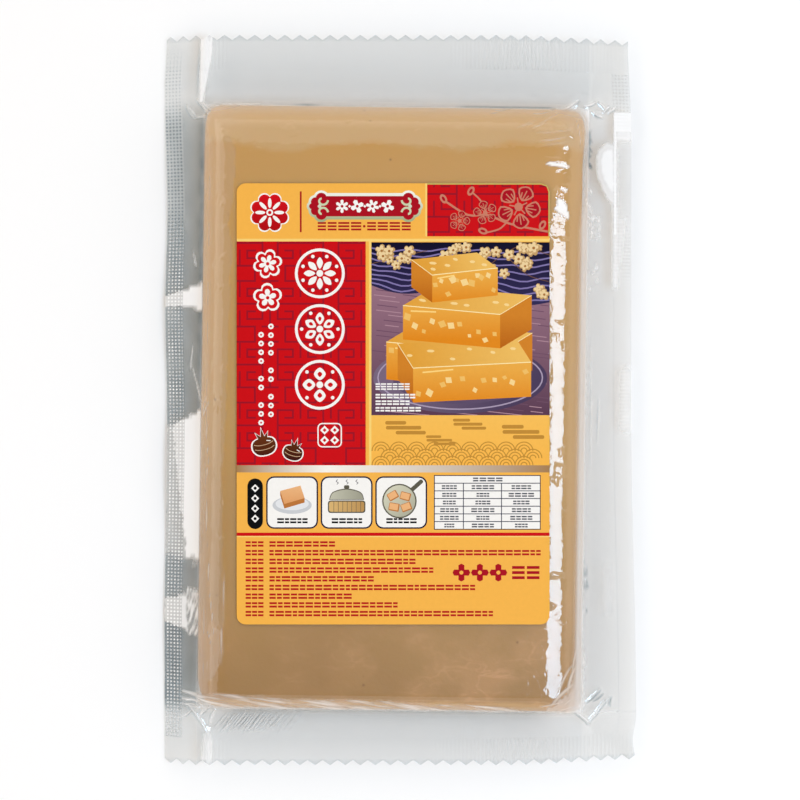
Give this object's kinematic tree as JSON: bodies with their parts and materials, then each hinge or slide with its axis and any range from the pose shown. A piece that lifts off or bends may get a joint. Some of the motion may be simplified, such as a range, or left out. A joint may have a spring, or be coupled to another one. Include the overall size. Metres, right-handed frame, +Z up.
{
  "type": "vacuum-packed water chestnut cake",
  "caption": "Flat caramel-coloured block of steamed cake, vacuum-sealed in a clear pouch with a wide sealed margin, with a printed paper label on its face.",
  "frame": {"origin": "middle of the pack's box, on the surface it lies on", "axes": "+X across the pack to the label's right, +Y up the label, +Z up from the surface through the label"},
  "size_m": [0.161, 0.248, 0.0227],
  "materials": {
    "sealed_pouch": "glossy clear film over pale caramel cake",
    "label": "smooth coated print"
  },
  "bodies": {
    "root": {"sealed_pouch": "sealed_pouch", "label": "label"}
  },
  "joints": []
}
